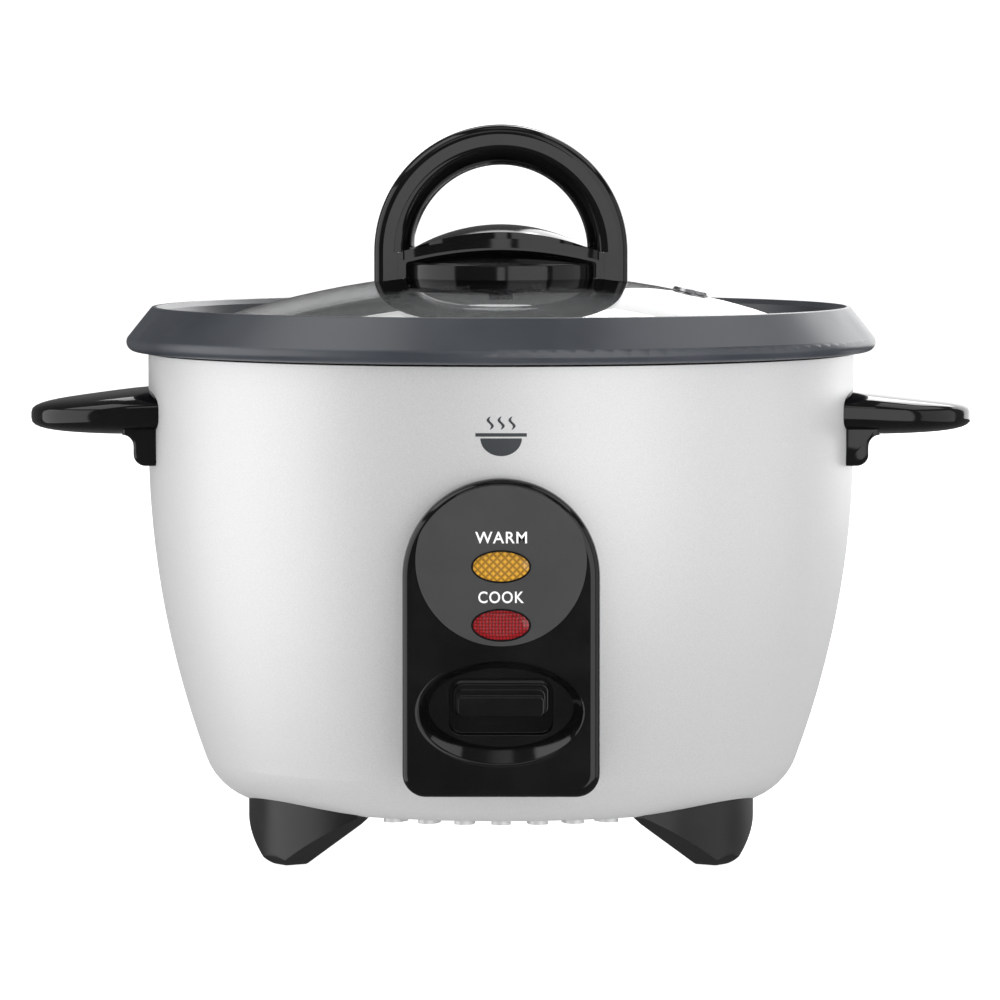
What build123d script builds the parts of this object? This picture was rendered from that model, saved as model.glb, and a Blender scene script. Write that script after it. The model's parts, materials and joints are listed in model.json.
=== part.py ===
"""A small drum rice cooker: steel body, lift-out pot, glass lid and cook switch.

Millimetres, +Z up. The origin is on the floor, on the pot's axis. -Y is the front
with the control panel, and +X is on the right of someone facing the front.
"""
from build123d import *
from math import acos, asin, cos, degrees, radians, sin, sqrt
import os

os.makedirs("parts", exist_ok=True)

# ---------------------------------------------------------------- driving dimensions
SHELL_R = 101.2            # outside radius of the steel body
SHELL_TOP = 143.0          # top edge of the body
SHELL_BOTTOM = 15.1        # flat underside of the body
SHEET = 0.8                # sheet steel
BELLY_Z = 118.4            # below this height the side curves inwards
BELLY_R = 264.0            # radius of that curve
CORNER_R = 18.0            # rounded bottom corner
SHELL_HOLE_R = 50.0        # opening in the body's floor, closed by the base plate

RIB_COUNT = 40             # raised ribs round the underside
RIB_WIDTH = 5.4
RIB_HEIGHT = 1.1
RIB_R = (60.5, 69.0)

POT_WALL = 1.4
POT_FLOOR_Z = 47.0
POT_R_LOW = 87.0           # outside radius just above the bottom curve
POT_R_HIGH = 89.5          # outside radius just under the rim
POT_CURVE_R = 26.0
POT_CURVE_Z = POT_FLOOR_Z + POT_CURVE_R
SEAT_Z = 144.4             # ledge that the lid rests on
CREST_Z = 156.4            # top of the pot's rim
BEAD_R = 2.6               # rolled hem at the bottom of the skirt
RIM_R = 107.5              # widest radius of the rim

GLASS_R = 93.0
GLASS_SPHERE_R = 255.0
GLASS_APEX_Z = 166.0
GLASS_T = 3.6
GLASS_CENTRE_Z = GLASS_APEX_Z - GLASS_SPHERE_R
VENT_X = 54.5

ARCH_R = 36.3              # lid handle, outside
ARCH_HOLE_R = 24.8         # lid handle, inside
ARCH_Z = 172.0
ARCH_BAND = 5.7            # width of the arch's flat front face
ARCH_HALF_DEPTH = 9.0
ARCH_EDGE_R = 2.6
PUCK_R = 28.0              # round foot of the lid handle
PUCK_WALL_TOP = 168.9
LEG_INNER_X = 29.6

HANDLE_ROOT_X = 98.0       # side handles: a half oval about this line
HANDLE_TIP_X = 135.0
HANDLE_HALF_WIDTH = 29.0
HANDLE_Z = 126.2
HANDLE_CROWN, HANDLE_BELLY = 7.4, 4.7      # heights above and below HANDLE_Z
HANDLE_LEG_X = 105.6
HANDLE_LEG_BOTTOM = 111.6
HANDLE_LEG_HALF = 25.5
LEG_CORNER_R = 4.5

PANEL_HALF = 27.0          # control panel
PANEL_ARCH_Z = 85.7
PANEL_BOTTOM = 25.5
PANEL_FRONT = 105.3        # distance of its face in front of the axis
PANEL_WALL = 2.0
PANEL_CORNER_R = 6.5
PANEL_EDGE_R = 2.6

PLATE_PROUD = 0.5          # indicator plate standing out of the panel
PLATE_T = 1.5
LAMP_Z = {"warm": 88.8, "cook": 72.8}
LENS_RX, LENS_RZ = 7.7, 4.05
BEZEL = 0.45               # black edge round each lens

DISH_Z, FLOOR_OF_DISH_Z = 48.8, 49.9
DISH_RX, DISH_RZ = 22.8, 14.3
DISH_FLOOR_RX, DISH_FLOOR_RZ = 19.8, 10.8
DISH_DEPTH = 4.0
DISH_EDGE_R = 1.4
SLOT_W, SLOT_H, SLOT_Z, SLOT_R = 28.5, 15.8, 50.1, 3.5

FOOT_AZIMUTH = 55.0        # degrees from the front or back
FOOT_FACE_R = 78.5         # outer face of a foot
FOOT_BACK_R = 64.5         # inner face at the top; it slopes outwards to the tip
FOOT_BACK_SLOPE = 4.5
FOOT_FACE_CURVE = 42.0     # radius of the outer face, seen from above
FOOT_HALF_WIDTH = 27.5
FOOT_TIP_R = 6.5
FOOT_FLAT = 0.35           # how far the round tip is cut flat
FOOT_EDGE_R = 3.5

HOTPLATE_R = 66.0
HOTPLATE_Z = (37.5, 46.6)
BASE_PLATE_R = 61.0
BASE_PLATE_T = 1.0
FLOOR_Z = SHELL_BOTTOM + SHEET + BASE_PLATE_T      # top of the base plate

PIVOT_Y, PIVOT_Z = -44.0, 31.0
PIN_R = 1.5
LEVER_Z = (27.6, 28.8)     # the flat stretch of the switch lever
LEVER_T = LEVER_Z[1] - LEVER_Z[0]

INLET_Z = 34.0
INLET_FACE = 94.5
INLET_HALF = (15.5, 11.5)

# ---------------------------------------------------------------- shared helpers
CORNER_Z = SHELL_BOTTOM + CORNER_R
BELLY_X = SHELL_R - BELLY_R
CORNER_ANGLE = degrees(asin((BELLY_Z - CORNER_Z) / (BELLY_R - CORNER_R)))
CORNER_X = BELLY_X + (BELLY_R - CORNER_R) * cos(radians(CORNER_ANGLE))


def save(builder, name):
    """Label a finished piece and write it as its own STEP file."""
    builder.part.label = name
    export_step(builder.part, f"parts/{name}.step")


def body_section(inset, top=SHELL_TOP):
    """Half section of the body's outside, moved inwards by inset."""
    with BuildSketch(Plane.XZ) as section:
        with BuildLine():
            Line((0, top), (SHELL_R - inset, top))
            Line((SHELL_R - inset, top), (SHELL_R - inset, BELLY_Z))
            CenterArc((BELLY_X, BELLY_Z), BELLY_R - inset, 0, -CORNER_ANGLE)
            CenterArc((CORNER_X, CORNER_Z), CORNER_R - inset, -CORNER_ANGLE, CORNER_ANGLE - 90)
            Line((CORNER_X, SHELL_BOTTOM + inset), (0, SHELL_BOTTOM + inset))
            Line((0, SHELL_BOTTOM + inset), (0, top))
        make_face()
    return section.sketch


def sphere_z(r, thickness=0.0):
    """Height of the lid's glass at radius r, on its outside or thickness below it."""
    return GLASS_CENTRE_Z + sqrt((GLASS_SPHERE_R - thickness) ** 2 - r**2)


def front_plane(distance):
    """Vertical plane that faces the front, distance in front of the axis."""
    return Plane.XZ.offset(distance)


def wire_along(points, bend, radius=1.0):
    """A wire's solid along straight runs joined by arcs."""
    with BuildPart() as wire:
        with BuildLine() as path:
            FilletPolyline(*points, radius=bend)
        with BuildSketch(Plane(origin=path.line @ 0, z_dir=path.line % 0)):
            Circle(radius)
        sweep()
    return wire


def spring_coil(centre, low, high, radius, wire_r, turns):
    """An open helical spring standing on low, with its axis vertical."""
    with BuildPart() as spring:
        with BuildLine(Plane.XY.offset(low + wire_r)) as path:
            Helix((high - low - 2 * wire_r) / turns, high - low - 2 * wire_r, radius,
                  center=(*centre, 0))
        with BuildSketch(Plane(origin=path.line @ 0, z_dir=path.line % 0)):
            Circle(wire_r)
        sweep(is_frenet=True)
    return spring


# ---------------------------------------------------------------- body shell
FOOT_ANGLES = {
    "foot_front_right": -90 + FOOT_AZIMUTH,
    "foot_front_left": -90 - FOOT_AZIMUTH,
    "foot_rear_right": 90 - FOOT_AZIMUTH,
    "foot_rear_left": 90 + FOOT_AZIMUTH,
}
FOOT_SCREW_R = 66.8
FOOT_SPAN = 26.0           # degrees each side of a foot that carry no ribs


def clear_of_feet(angle):
    """True where a rib round the underside misses every foot."""
    gaps = [abs((angle - foot + 180) % 360 - 180) for foot in FOOT_ANGLES.values()]
    return min(gaps) > FOOT_SPAN


RIB_ANGLES = [-90 + i * 360 / RIB_COUNT for i in range(RIB_COUNT)]
POST_R, POST_RADIUS = 57.0, 3.5
POST_ANGLES = (90, 210, 330)
PANEL_OPENINGS = ((34, 32.0, 64.6), (24, 67.0, 95.0))      # width, low z, high z
HANDLE_SCREW_Y, HANDLE_SCREW_Z = 15.0, 117.0
SCREW_HOLE_R = 1.6

with BuildPart() as body_shell:
    revolve(body_section(0), axis=Axis.Z)
    for angle in filter(clear_of_feet, RIB_ANGLES):
        with BuildSketch(Plane.XY.offset(SHELL_BOTTOM - RIB_HEIGHT)):
            with PolarLocations(sum(RIB_R) / 2, 1, start_angle=angle):
                SlotOverall(RIB_R[1] - RIB_R[0], RIB_WIDTH)
        extrude(amount=RIB_HEIGHT + SHEET / 2)
    revolve(body_section(SHEET, SHELL_TOP + 1), axis=Axis.Z, mode=Mode.SUBTRACT)
    with BuildSketch(Plane.XY):
        Circle(SHELL_HOLE_R)
        with PolarLocations(POST_R, len(POST_ANGLES), start_angle=POST_ANGLES[0]):
            Circle(SCREW_HOLE_R)
        for angle in FOOT_ANGLES.values():
            with PolarLocations(FOOT_SCREW_R, 1, start_angle=angle):
                Circle(SCREW_HOLE_R)
    extrude(amount=SHELL_BOTTOM + 2, mode=Mode.SUBTRACT)
    for width, low, high in PANEL_OPENINGS:
        with BuildSketch(front_plane(SHELL_R + 5)):
            with Locations((0, (low + high) / 2)):
                RectangleRounded(width, high - low, 3)
        extrude(amount=-30, mode=Mode.SUBTRACT)
    with BuildSketch(Plane.XZ):
        with Locations((0, INLET_Z)):
            Rectangle(2 * INLET_HALF[0] + 0.4, 2 * INLET_HALF[1] + 0.4)
    extrude(amount=-SHELL_R, mode=Mode.SUBTRACT)
    with BuildSketch(Plane.YZ):
        with Locations((HANDLE_SCREW_Y, HANDLE_SCREW_Z), (-HANDLE_SCREW_Y, HANDLE_SCREW_Z)):
            Circle(SCREW_HOLE_R)
    extrude(amount=SHELL_R + 1, both=True, mode=Mode.SUBTRACT)
save(body_shell, "body_shell")

# ---------------------------------------------------------------- liner round the pot
LINER_GAP = 2.4
LINER_TOP_Z = SHELL_TOP - SHEET
LINER_R = (POT_R_LOW + LINER_GAP, POT_R_HIGH + LINER_GAP)
LINER_END_R = 70.0
LINER_CURVE_X = POT_R_LOW - POT_CURVE_R


def liner_end(radius):
    """Angle on the liner's bottom curve where it reaches its central opening."""
    return -degrees(acos((LINER_END_R - LINER_CURVE_X) / radius))


with BuildPart() as inner_liner:
    inside = POT_CURVE_R + LINER_GAP
    outside = inside + SHEET
    with BuildSketch(Plane.XZ):
        with BuildLine():
            high_in = (LINER_R[1], SHELL_TOP)
            low_in = CenterArc((LINER_CURVE_X, POT_CURVE_Z), inside, 0, liner_end(inside))
            low_out = CenterArc((LINER_CURVE_X, POT_CURVE_Z), outside, 0, liner_end(outside))
            Line(high_in, low_in @ 0)
            Line(low_in @ 1, low_out @ 1)
            Line(low_out @ 0, (LINER_R[1] + SHEET, LINER_TOP_Z))
            Line((LINER_R[1] + SHEET, LINER_TOP_Z), (SHELL_R - SHEET, LINER_TOP_Z))
            Line((SHELL_R - SHEET, LINER_TOP_Z), (SHELL_R - SHEET, SHELL_TOP))
            Line((SHELL_R - SHEET, SHELL_TOP), high_in)
        make_face()
    revolve(axis=Axis.Z)
save(inner_liner, "inner_liner")

# ---------------------------------------------------------------- base plate and feet
with BuildPart() as base_plate:
    with BuildSketch(Plane.XY.offset(SHELL_BOTTOM + SHEET)):
        Circle(BASE_PLATE_R)
        with PolarLocations(POST_R, len(POST_ANGLES), start_angle=POST_ANGLES[0]):
            Circle(SCREW_HOLE_R, mode=Mode.SUBTRACT)
        for ring_r, count in ((20.0, 12), (33.0, 18)):
            with PolarLocations(ring_r, count, start_angle=180 / count):
                SlotOverall(9, 3, mode=Mode.SUBTRACT)
    extrude(amount=BASE_PLATE_T)
save(base_plate, "base_plate")


def make_foot(azimuth):
    """A foot: a wedge with a curved outer face, wide at the top, with a round tip."""
    out = Vector(cos(radians(azimuth)), sin(radians(azimuth)), 0)
    across = Vector(-out.Y, out.X, 0)
    with BuildPart() as foot:
        with BuildSketch(Plane(origin=out * FOOT_BACK_R, x_dir=across, z_dir=out)):
            with BuildLine():
                Line((-FOOT_HALF_WIDTH, SHELL_BOTTOM), (FOOT_HALF_WIDTH, SHELL_BOTTOM))
                CenterArc((0, FOOT_TIP_R - FOOT_FLAT), FOOT_TIP_R, 0, 360)
            make_hull()
            with Locations((0, (SHELL_BOTTOM + CORNER_Z) / 2)):
                Rectangle(2 * FOOT_HALF_WIDTH, CORNER_Z - SHELL_BOTTOM)
            with Locations((0, -FOOT_TIP_R)):
                Rectangle(4 * FOOT_TIP_R, 2 * FOOT_TIP_R, mode=Mode.SUBTRACT)
        extrude(amount=FOOT_FACE_R - FOOT_BACK_R)
        with BuildSketch(Plane(origin=(0, 0, -1), x_dir=out, z_dir=(0, 0, 1))):
            with Locations((FOOT_FACE_R - FOOT_FACE_CURVE, 0)):
                Circle(FOOT_FACE_CURVE)
        extrude(amount=CORNER_Z + 2, mode=Mode.INTERSECT)
        with BuildSketch(Plane(origin=(0, 0, 0), x_dir=out, z_dir=across * -1)):
            with BuildLine():
                Polyline((FOOT_BACK_R - 1, -1), (FOOT_BACK_R + FOOT_BACK_SLOPE, -1),
                         (FOOT_BACK_R, SHELL_BOTTOM - 2), (FOOT_BACK_R - 1, SHELL_BOTTOM - 2), close=True)
            make_face()
        extrude(amount=FOOT_HALF_WIDTH, both=True, mode=Mode.SUBTRACT)
        with BuildSketch(Plane(origin=(0, 0, 0), x_dir=out, z_dir=across * -1)):
            with Locations((FOOT_FACE_R - FOOT_EDGE_R, FOOT_EDGE_R)):
                Rectangle(2 * FOOT_EDGE_R, 2 * FOOT_EDGE_R, align=(Align.MIN, Align.MAX))
                Circle(FOOT_EDGE_R, mode=Mode.SUBTRACT)
        extrude(amount=FOOT_HALF_WIDTH, both=True, mode=Mode.SUBTRACT)
        revolve(body_section(0), axis=Axis.Z, mode=Mode.SUBTRACT)
        with BuildSketch(Plane(origin=out * FOOT_SCREW_R + Vector(0, 0, SHELL_BOTTOM), z_dir=(0, 0, 1))):
            Circle(1.2)
        extrude(amount=-9, mode=Mode.SUBTRACT)
    return foot


for foot_name, foot_angle in FOOT_ANGLES.items():
    save(make_foot(foot_angle), foot_name)


def make_screws(planes, shaft_r, length, head_r, head_h):
    """Pan-head screws, one on each plane, with the head on the plane's +Z side."""
    with BuildPart() as screws:
        with BuildSketch(*planes):
            Circle(head_r)
        extrude(amount=head_h)
        with BuildSketch(*planes):
            Circle(shaft_r)
        extrude(amount=-length)
        with BuildSketch(*[plane.offset(head_h) for plane in planes]):
            Rectangle(head_r * 1.2, head_r * 0.3)
            Rectangle(head_r * 0.3, head_r * 1.2)
        extrude(amount=-head_h / 2, mode=Mode.SUBTRACT)
    return screws


def polar_spots(radius, angles, z):
    """Points at one radius and height."""
    return [(radius * cos(radians(angle)), radius * sin(radians(angle)), z) for angle in angles]


foot_screw_planes = [
    Plane(origin=spot, x_dir=(1, 0, 0), z_dir=(0, 0, 1))
    for spot in polar_spots(FOOT_SCREW_R, FOOT_ANGLES.values(), SHELL_BOTTOM + SHEET + 0.1)
]
save(make_screws(foot_screw_planes, 1.2, 8.5, 2.4, 1.8), "foot_screws")

# ---------------------------------------------------------------- heating plate
with BuildPart() as plate_posts:
    with BuildSketch(Plane.XY.offset(FLOOR_Z)):
        with PolarLocations(POST_R, len(POST_ANGLES), start_angle=POST_ANGLES[0]):
            RegularPolygon(POST_RADIUS, 6)
            Circle(1.3, mode=Mode.SUBTRACT)
    extrude(amount=HOTPLATE_Z[0] - FLOOR_Z)
save(plate_posts, "plate_posts")

post_screw_planes = [
    Plane(origin=spot, x_dir=(1, 0, 0), z_dir=(0, 0, -1))
    for spot in polar_spots(POST_R, POST_ANGLES, SHELL_BOTTOM)
]
save(make_screws(post_screw_planes, 1.25, 10, 2.7, 1.4), "post_screws")

ELEMENT_R, ELEMENT_WIRE_R = 42.0, 3.5
SLEEVE_HOLE_R = 17.5

with BuildPart() as heating_plate:
    with BuildSketch(Plane.XZ):
        with Locations(((SLEEVE_HOLE_R + HOTPLATE_R) / 2, sum(HOTPLATE_Z) / 2)):
            Rectangle(HOTPLATE_R - SLEEVE_HOLE_R, HOTPLATE_Z[1] - HOTPLATE_Z[0])
        chamfer(vertices().group_by(Axis.Y)[-1], 1.2)
        with Locations((ELEMENT_R, HOTPLATE_Z[0])):
            Circle(ELEMENT_WIRE_R + 0.1, mode=Mode.SUBTRACT)
    revolve(axis=Axis.Z)
save(heating_plate, "heating_plate")

ELEMENT_SPAN = 300.0       # the element's ring is open for its two cold ends
with BuildPart() as heater_element:
    start = 90 + (360 - ELEMENT_SPAN) / 2
    begin = Vector(ELEMENT_R * cos(radians(start)), ELEMENT_R * sin(radians(start)))
    with BuildSketch(Plane(origin=(begin.X, begin.Y, HOTPLATE_Z[0]), x_dir=begin.normalized(),
                           z_dir=(begin.Y, -begin.X, 0))):
        Circle(ELEMENT_WIRE_R)
    revolve(axis=Axis.Z, revolution_arc=ELEMENT_SPAN)
    with BuildSketch(Plane.XY.offset(HOTPLATE_Z[0])):
        with PolarLocations(ELEMENT_R, 2, start_angle=start, angular_range=ELEMENT_SPAN,
                            endpoint=True):
            Circle(ELEMENT_WIRE_R)
    extrude(amount=-7)
    with BuildSketch(Plane.XY.offset(HOTPLATE_Z[0] - 7)):
        with PolarLocations(ELEMENT_R, 2, start_angle=start, angular_range=ELEMENT_SPAN,
                            endpoint=True):
            Circle(1.2)
    extrude(amount=-5)
save(heater_element, "heater_element")

# ---------------------------------------------------------------- thermostat
SLEEVE_R = (11.4, 12.2)
SLEEVE_Z = (33.5, 41.0)
CAP_R = (12.8, 13.8)
CAP_TOP, CAP_SKIRT_Z = 46.7, 39.2
FERRITE_Z = (38.8, CAP_TOP - 1)

with BuildPart() as sensor_sleeve:
    with BuildSketch(Plane.XY.offset(SLEEVE_Z[0])):
        Circle(SLEEVE_R[1])
        Circle(SLEEVE_R[0], mode=Mode.SUBTRACT)
    extrude(amount=SLEEVE_Z[1] - SLEEVE_Z[0])
    with BuildSketch(Plane.XY.offset(HOTPLATE_Z[0] - 1)):
        Circle(24)
        Circle(SLEEVE_R[0], mode=Mode.SUBTRACT)
    extrude(amount=1)
save(sensor_sleeve, "sensor_sleeve")

with BuildPart() as sensor_cap:
    with BuildSketch(Plane.XY.offset(CAP_SKIRT_Z)):
        Circle(CAP_R[1])
    extrude(amount=CAP_TOP - CAP_SKIRT_Z)
    fillet(edges().group_by(Axis.Z)[-1], 1)
    with BuildSketch(Plane.XY.offset(CAP_SKIRT_Z)):
        Circle(CAP_R[0])
    extrude(amount=CAP_TOP - 1 - CAP_SKIRT_Z, mode=Mode.SUBTRACT)
save(sensor_cap, "sensor_cap")

with BuildPart() as ferrite_core:
    with BuildSketch(Plane.XY.offset(FERRITE_Z[0])):
        Circle(10.6)
    extrude(amount=FERRITE_Z[1] - FERRITE_Z[0])
    chamfer(edges().group_by(Axis.Z)[0], 0.6)
save(ferrite_core, "ferrite_core")

save(spring_coil((0, 0), SLEEVE_Z[1] + 0.1, FERRITE_Z[1] - 0.1, 11.8, 0.35, 3), "sensor_spring")

MAGNET_Z = (29.5, 34.0)
with BuildPart() as magnet:
    with BuildSketch(Plane.XY.offset(MAGNET_Z[0])):
        Circle(9.4)
    extrude(amount=MAGNET_Z[1] - MAGNET_Z[0])
    chamfer(edges().group_by(Axis.Z)[-1], 0.5)
save(magnet, "magnet")

with BuildPart() as magnet_rod:
    with BuildSketch(Plane.XY.offset(MAGNET_Z[0])):
        Circle(1.5)
    extrude(amount=-4.9)
    with BuildSketch(Plane.XY.offset(MAGNET_Z[0] - 4.9)):
        Circle(3)
    extrude(amount=1)
save(magnet_rod, "magnet_rod")

# ---------------------------------------------------------------- switch lever
LEVER_HALF = 8.2
EAR_T = 1.2
ARM_BEND_Y, ARM_TOP_Y, ARM_TOP_Z = -66.0, -92.0, 44.0
TANG_TOP_Z = 56.0

with BuildPart() as switch_lever:
    with BuildSketch(Plane.YZ):
        with BuildLine():
            Polyline((4.5, LEVER_Z[0]), (ARM_BEND_Y, LEVER_Z[0]), (ARM_TOP_Y - LEVER_T, ARM_TOP_Z - 1.4),
                     (ARM_TOP_Y - LEVER_T, TANG_TOP_Z), (ARM_TOP_Y, TANG_TOP_Z), (ARM_TOP_Y, ARM_TOP_Z),
                     (ARM_BEND_Y + 0.4, LEVER_Z[1]), (4.5, LEVER_Z[1]), close=True)
        make_face()
    extrude(amount=LEVER_HALF, both=True)
    with BuildSketch(Plane.YZ):
        with Locations((PIVOT_Y, PIVOT_Z - 0.4)):
            RectangleRounded(7, 6.2, 2)
    extrude(amount=LEVER_HALF, both=True)
    with BuildSketch(Plane.YZ):
        with Locations((PIVOT_Y, LEVER_Z[1] + 4)):
            Rectangle(7.2, 8)
    extrude(amount=LEVER_HALF - EAR_T, both=True, mode=Mode.SUBTRACT)
    with BuildSketch(Plane.YZ):
        with Locations((PIVOT_Y, PIVOT_Z)):
            Circle(PIN_R + 0.05)
    extrude(amount=LEVER_HALF, both=True, mode=Mode.SUBTRACT)
    with BuildSketch(Plane.XY.offset(LEVER_Z[0] - 1)):
        with Locations((LEVER_HALF, -14), (-LEVER_HALF, -14)):
            Rectangle(8, 44)
        with Locations((0, 1.5)):
            SlotOverall(10, 4, rotation=90)
    extrude(amount=LEVER_T + 2, mode=Mode.SUBTRACT)
save(switch_lever, "switch_lever")

BRACKET_X = (9.2, 10.4)
with BuildPart() as lever_bracket:
    with BuildSketch(Plane.YZ):
        with Locations((PIVOT_Y, (FLOOR_Z + PIVOT_Z + 3) / 2)):
            RectangleRounded(10, PIVOT_Z + 3 - FLOOR_Z, 2)
            Rectangle(10, 6)
        with Locations((PIVOT_Y, FLOOR_Z + 3)):
            Rectangle(10, 6)
    extrude(amount=BRACKET_X[1], both=True)
    with BuildSketch(Plane.YZ):
        with Locations((PIVOT_Y, FLOOR_Z + 1.2 + 12)):
            Rectangle(12, 24)
    extrude(amount=BRACKET_X[0], both=True, mode=Mode.SUBTRACT)
    with BuildSketch(Plane.YZ):
        with Locations((PIVOT_Y, PIVOT_Z)):
            Circle(PIN_R)
    extrude(amount=BRACKET_X[1], both=True, mode=Mode.SUBTRACT)
save(lever_bracket, "lever_bracket")

with BuildPart() as lever_pin:
    with BuildSketch(Plane.YZ):
        with Locations((PIVOT_Y, PIVOT_Z)):
            Circle(PIN_R)
    extrude(amount=BRACKET_X[1], both=True)
    with BuildSketch(Plane.YZ.offset(BRACKET_X[1]), Plane.YZ.offset(-BRACKET_X[1] - 0.8)):
        with Locations((PIVOT_Y, PIVOT_Z)):
            Circle(PIN_R + 0.9)
    extrude(amount=0.8)
save(lever_pin, "lever_pin")

SPRING_X, SPRING_Y = -3.5, -57.0
save(spring_coil((SPRING_X, SPRING_Y), FLOOR_Z + 0.2, LEVER_Z[0] - 0.2, 3.4, 0.4, 6), "lever_spring")

# ---------------------------------------------------------------- contact switch
MICRO_X, MICRO_TOP = (1.6, 8.0), 25.5
PLUNGER_X, PLUNGER_Y = 4.8, -57.0

with BuildPart() as contact_switch:
    with BuildSketch(Plane.XY.offset(FLOOR_Z)):
        with Locations((sum(MICRO_X) / 2, PLUNGER_Y - 3)):
            Rectangle(MICRO_X[1] - MICRO_X[0], 20)
    extrude(amount=MICRO_TOP - FLOOR_Z)
    fillet(edges().filter_by(Axis.Z), 0.6)
    with BuildSketch(Plane.XY.offset(MICRO_TOP)):
        with Locations((PLUNGER_X, PLUNGER_Y)):
            Circle(1.05)
    extrude(amount=-5.5, mode=Mode.SUBTRACT)
save(contact_switch, "contact_switch")

with BuildPart() as switch_plunger:
    with BuildSketch(Plane.XY.offset(MICRO_TOP - 3.5)):
        with Locations((PLUNGER_X, PLUNGER_Y)):
            Circle(1.0)
    extrude(amount=LEVER_Z[0] - 0.2 - MICRO_TOP + 3.5)
    fillet(edges().group_by(Axis.Z)[-1], 0.4)
save(switch_plunger, "switch_plunger")

# ---------------------------------------------------------------- cook button
SKIRT_FRONT, SKIRT_T = 96.2, 1.5
SKIRT_Z = (40.6, 63.6)     # covers the slot at both ends of the travel
BUTTON_BOTTOM = 47.6
TANG_Z = 52.0
BUTTON_STEPS = ((26.2, 8.9, 101.0, 2.4), (24.6, 7.6, 102.2, 2.2), (23.8, 5.6, 104.4, 1.4))

with BuildPart() as cook_button:
    with BuildSketch(front_plane(SKIRT_FRONT)):
        with Locations((0, sum(SKIRT_Z) / 2)):
            RectangleRounded(31, SKIRT_Z[1] - SKIRT_Z[0], 1.5)
    extrude(amount=-SKIRT_T)
    for width, height, face, corner in BUTTON_STEPS:
        with BuildSketch(front_plane(SKIRT_FRONT)):
            with Locations((0, BUTTON_BOTTOM + height / 2)):
                RectangleRounded(width, height, corner)
        extrude(amount=face - SKIRT_FRONT)
        fillet(faces().sort_by(Axis.Y)[0].edges(), 0.5)
    with BuildSketch(front_plane(-ARM_TOP_Y)):
        with Locations((0, TANG_Z)):
            Rectangle(2 * LEVER_HALF + 2, 7)
    extrude(amount=SKIRT_FRONT - SKIRT_T + ARM_TOP_Y)
    with BuildSketch(front_plane(-ARM_TOP_Y)):
        with Locations((0, TANG_Z)):
            Rectangle(2 * LEVER_HALF, 7)
    extrude(amount=LEVER_T, mode=Mode.SUBTRACT)
save(cook_button, "cook_button")

# ---------------------------------------------------------------- control panel
PANEL_INNER = PANEL_FRONT - PANEL_WALL
DISH_BACK = PANEL_FRONT - DISH_DEPTH
PLATE_Z, PLATE_R, PLATE_MARGIN = 90.4, 23.4, 1.7


def panel_outline(distance, inset):
    """Arch-topped outline of the control panel, moved inwards by inset."""
    half = PANEL_HALF - inset
    low = PANEL_BOTTOM + inset
    with BuildSketch(front_plane(distance)) as outline:
        with BuildLine():
            CenterArc((0, PANEL_ARCH_Z), half, 0, 180)
            Polyline((-half, PANEL_ARCH_Z), (-half, low), (half, low), (half, PANEL_ARCH_Z))
        make_face()
        fillet(vertices().group_by(Axis.Y)[0], PANEL_CORNER_R - inset)
    return outline.sketch


def indicator_outline(distance, inset):
    """The indicator plate: a disc whose top follows the panel's arch."""
    with BuildSketch(front_plane(distance)) as outline:
        with Locations((0, PLATE_Z)):
            Circle(PLATE_R - inset)
        with Locations((0, PANEL_ARCH_Z)):
            Circle(PANEL_HALF - PLATE_MARGIN - inset, mode=Mode.INTERSECT)
    return outline.sketch


with BuildPart() as control_panel:
    extrude(panel_outline(PANEL_FRONT, 0), amount=-35)
    fillet(faces().sort_by(Axis.Y)[0].edges(), PANEL_EDGE_R)
    extrude(panel_outline(PANEL_INNER, PANEL_WALL), amount=-35, mode=Mode.SUBTRACT)
    with BuildSketch(front_plane(PANEL_INNER + 0.5)):
        with Locations((0, DISH_Z)):
            Ellipse(DISH_RX + 1.2, DISH_RZ + 1.2)
    extrude(amount=-(PANEL_INNER + 0.5 - DISH_BACK + 1.8))
    with BuildSketch(front_plane(PANEL_FRONT)):
        with Locations((0, DISH_Z)):
            Ellipse(DISH_RX, DISH_RZ)
    with BuildSketch(front_plane(DISH_BACK)):
        with Locations((0, FLOOR_OF_DISH_Z)):
            Ellipse(DISH_FLOOR_RX, DISH_FLOOR_RZ)
    loft(mode=Mode.SUBTRACT)
    dish_edge = faces().sort_by(Axis.Y)[0].inner_wires()[0].edges()
    fillet(dish_edge, DISH_EDGE_R)
    with BuildSketch(front_plane(DISH_BACK + 1)):
        with Locations((0, SLOT_Z)):
            RectangleRounded(SLOT_W, SLOT_H, SLOT_R)
    extrude(amount=-5, mode=Mode.SUBTRACT)
    extrude(indicator_outline(PANEL_FRONT + 1, 0), amount=-(1 + PLATE_T - PLATE_PROUD),
            mode=Mode.SUBTRACT)
    with BuildSketch(front_plane(PANEL_FRONT)):
        with Locations(*[(0, lamp_z) for lamp_z in LAMP_Z.values()]):
            Ellipse(LENS_RX + BEZEL, LENS_RZ + BEZEL)
    extrude(amount=-6, mode=Mode.SUBTRACT)
    revolve(body_section(0, SHELL_TOP), axis=Axis.Z, mode=Mode.SUBTRACT)
save(control_panel, "control_panel")

with BuildPart() as indicator_plate:
    extrude(indicator_outline(PANEL_FRONT + PLATE_PROUD, 0.05), amount=-PLATE_T)
    with BuildSketch(front_plane(PANEL_FRONT + PLATE_PROUD)):
        with Locations(*[(0, lamp_z) for lamp_z in LAMP_Z.values()]):
            Ellipse(LENS_RX + BEZEL, LENS_RZ + BEZEL)
    extrude(amount=-PLATE_T, mode=Mode.SUBTRACT)
save(indicator_plate, "indicator_plate")


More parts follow.
